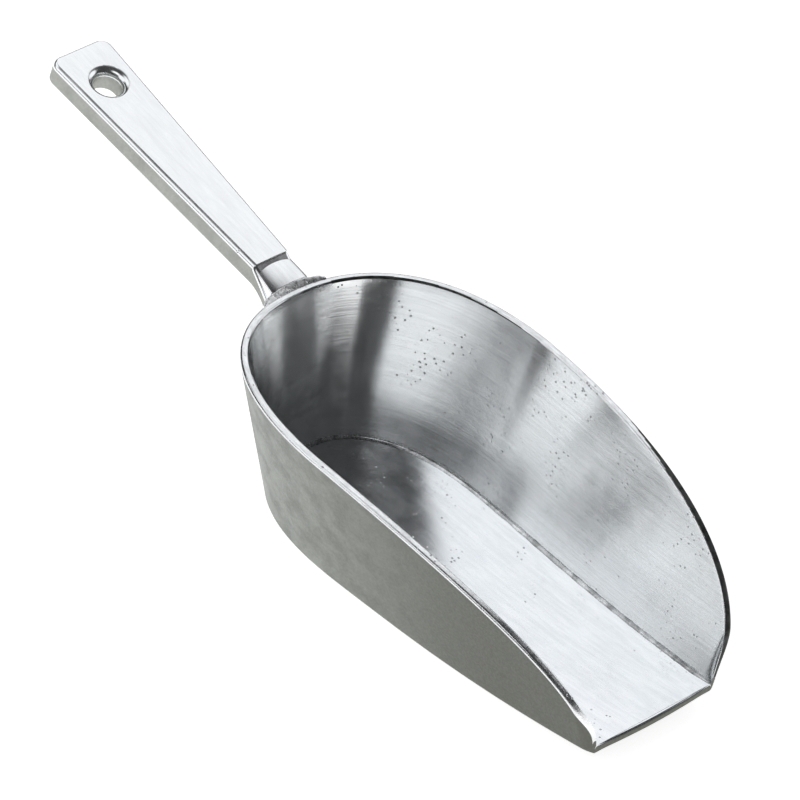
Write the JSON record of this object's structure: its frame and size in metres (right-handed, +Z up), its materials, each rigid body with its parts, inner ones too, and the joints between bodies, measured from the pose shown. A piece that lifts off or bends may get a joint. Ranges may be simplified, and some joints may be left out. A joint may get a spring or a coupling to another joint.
{
  "type": "ice scoop",
  "caption": "Metal ice scoop with a deep flat-bottomed bowl, rounded at the back and cut low at the lip, and a tapered bar handle with a hang hole.",
  "frame": {"origin": "middle of the flat part of the base, on the surface that the scoop stands on", "axes": "+X from the handle towards the scooping lip, +Y across the bowl, +Z up out of the open bowl"},
  "size_m": [0.2945, 0.1048, 0.0861],
  "materials": {
    "cast_wall": "cast aluminium, satin outside, brushed and polished inside",
    "polished_floor": "polished cast aluminium with fine scratches",
    "seam_bead": "rough bright aluminium bead",
    "polished_handle": "polished top, satin cast sides"
  },
  "bodies": {
    "root": {"bowl_wall": "cast_wall", "floor_plate": "polished_floor", "floor_bead": "seam_bead", "neck_bead": "seam_bead", "neck_tang": "polished_handle", "handle": "polished_handle"}
  },
  "joints": []
}
